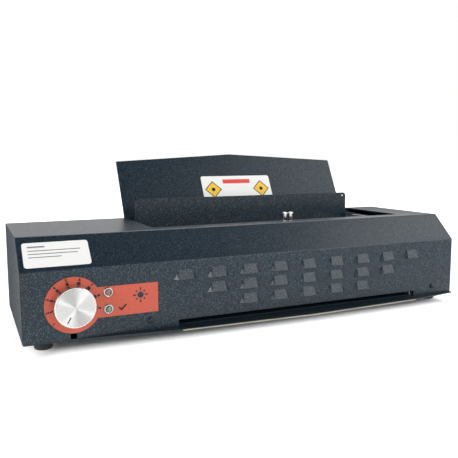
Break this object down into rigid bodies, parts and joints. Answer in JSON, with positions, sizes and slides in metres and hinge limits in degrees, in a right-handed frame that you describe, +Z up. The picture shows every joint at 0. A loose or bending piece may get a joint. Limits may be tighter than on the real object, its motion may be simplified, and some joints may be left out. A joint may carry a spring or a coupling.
{
  "type": "thermal copier",
  "caption": "Desktop infrared thermal copier with a low front feed slot, louvred painted steel housing, dial knob, lamps and a leaning rear sheet deflector.",
  "frame": {"origin": "centre of the bounding box's bottom, at the feet's underside", "axes": "+X to the right seen from the front, +Y to the rear, +Z up; the feed slot faces -Y"},
  "size_m": [0.43, 0.1876, 0.1544],
  "materials": {
    "housing_paint": "fine hammered powder coat, satin",
    "tray_paint": "satin powder coat",
    "galvanised_steel": "zinc plated sheet",
    "bright_steel": "ground steel",
    "polished_steel": "polished",
    "spun_aluminium": "spun face with fine turning marks",
    "knob_grey": "satin anodised",
    "reflector_aluminium": "bright anodised",
    "hem_cream": "worn bright edge",
    "drum_glass": "clear",
    "quartz": "clear quartz",
    "tungsten": "dull",
    "lamp_ceramic": "unglazed steatite",
    "sleeve_plastic": "heat-proof resin",
    "belt_rubber": "fabric-backed silicone",
    "drive_rubber": "ground rubber",
    "roller_silicone": "silicone",
    "bronze": "sintered bronze",
    "gear_acetal": "acetal",
    "pinion_brass": "machined",
    "gearbox_zinc": "zinc casting",
    "motor_steel": "blackened steel can",
    "black_plastic": "moulded, fine texture",
    "board_green": "solder resist",
    "transformer_core": "varnished laminations and winding",
    "component_blue": "moulded parts",
    "pot_metal": "plated can",
    "panel_red": "printed polyester overlay",
    "bezel_metal": "plated",
    "lens_red": "unlit tinted lens",
    "lens_green": "unlit tinted lens",
    "foot_rubber": "moulded rubber",
    "screw_black": "blackened steel",
    "label_white": "printed vinyl"
  },
  "bodies": {
    "chassis": {"base_tray": "tray_paint", "housing_cover": "housing_paint", "rear_panel": "housing_paint", "exit_deflector": "housing_paint", "exit_guide": "housing_paint", "exit_chute": "galvanised_steel", "feed_ramp": "tray_paint", "upper_feed_guide": "galvanised_steel", "feed_lip_hem": "hem_cream", "side_frame_left": "galvanised_steel", "side_frame_right": "galvanised_steel", "tie_rods": "bright_steel", "upper_cross_bar": "galvanised_steel", "guide_studs": "polished_steel", "drum_sleeves": "sleeve_plastic", "heat_lamp_tube": "quartz", "heat_lamp_filament": "tungsten", "lamp_end_ceramics": "lamp_ceramic", "lamp_holders": "bright_steel", "reflector": "reflector_aluminium", "transport_belt": "belt_rubber", "roller_bushes": "bronze", "idler_axle": "bright_steel", "gearbox": "gearbox_zinc", "motor_can": "motor_steel", "motor_bracket": "galvanised_steel", "fan_frame": "black_plastic", "fan_guard": "bezel_metal", "control_board": "board_green", "transformer": "transformer_core", "board_components": "component_blue", "potentiometer": "pot_metal", "control_label": "panel_red", "indicator_bezels": "bezel_metal", "power_lamp_lens": "lens_red", "ready_lamp_lens": "lens_green", "feed_switch": "black_plastic", "thermostat": "bezel_metal", "mains_inlet": "black_plastic", "rubber_feet": "foot_rubber", "housing_screws": "screw_black", "caution_label": "label_white", "safety_label": "label_white"},
    "dial": {"dial_shaft": "pot_metal", "dial_knob": "knob_grey", "dial_knob_cap": "spun_aluminium"},
    "drum": {"glass_drum": "drum_glass", "drum_end_caps": "knob_grey"},
    "driven_roller": {"drive_roller": "drive_rubber", "drive_roller_shaft": "bright_steel", "drive_gear": "gear_acetal"},
    "front_roller": {"entry_roller": "roller_silicone", "entry_roller_shaft": "bright_steel"},
    "rear_roller": {"exit_roller": "roller_silicone", "exit_roller_shaft": "bright_steel"},
    "idler": {"idler_gear": "gear_acetal"},
    "motor_output": {"motor_pinion": "pinion_brass", "motor_shaft": "bright_steel"},
    "fan": {"fan_rotor": "black_plastic"},
    "sheet_lever": {"feed_switch_lever": "bright_steel"}
  },
  "joints": [
    {"name": "dial_turn", "type": "hinge", "parent": "chassis", "child": "dial", "pos_m": [-0.1758, -0.0816, 0.0364], "axis": [0, 1, 0], "range_deg": [0, 298]},
    {"name": "drum_spin", "type": "hinge", "parent": "chassis", "child": "drum", "pos_m": [0.0365, -0.0086, 0.05], "axis": [1, 0, 0], "continuous": true},
    {"name": "drive_roller_spin", "type": "hinge", "parent": "chassis", "child": "driven_roller", "pos_m": [0.0365, 0.0354, 0.024], "axis": [1, 0, 0], "continuous": true},
    {"name": "entry_roller_spin", "type": "hinge", "parent": "chassis", "child": "front_roller", "pos_m": [0.0365, -0.0086, 0.0174], "axis": [1, 0, 0], "continuous": true},
    {"name": "exit_roller_spin", "type": "hinge", "parent": "chassis", "child": "rear_roller", "pos_m": [0.0365, 0.01811, 0.0313], "axis": [1, 0, 0], "continuous": true},
    {"name": "idler_spin", "type": "hinge", "parent": "chassis", "child": "idler", "pos_m": [0.0365, 0.0354, 0.046], "axis": [1, 0, 0], "continuous": true},
    {"name": "motor_spin", "type": "hinge", "parent": "chassis", "child": "motor_output", "pos_m": [0.0365, 0.0354, 0.065], "axis": [1, 0, 0], "continuous": true},
    {"name": "fan_spin", "type": "hinge", "parent": "chassis", "child": "fan", "pos_m": [-0.191, 0.0534, 0.051], "axis": [0, 1, 0], "continuous": true},
    {"name": "sheet_lever_swing", "type": "hinge", "parent": "chassis", "child": "sheet_lever", "pos_m": [-0.0695, -0.0586, 0.036], "axis": [1, 0, 0], "range_deg": [0, 20], "stiffness_Nm_per_rad": 0.003, "springref_deg": -17.19}
  ],
  "couplings": [
    {"joint": "drive_roller_spin", "follows": "drum_spin", "ratio": -2.7778},
    {"joint": "entry_roller_spin", "follows": "drum_spin", "ratio": -4.1667},
    {"joint": "exit_roller_spin", "follows": "drum_spin", "ratio": -4.1667},
    {"joint": "idler_spin", "follows": "drum_spin", "ratio": 2.7778},
    {"joint": "motor_spin", "follows": "drum_spin", "ratio": -3.8194}
  ]
}
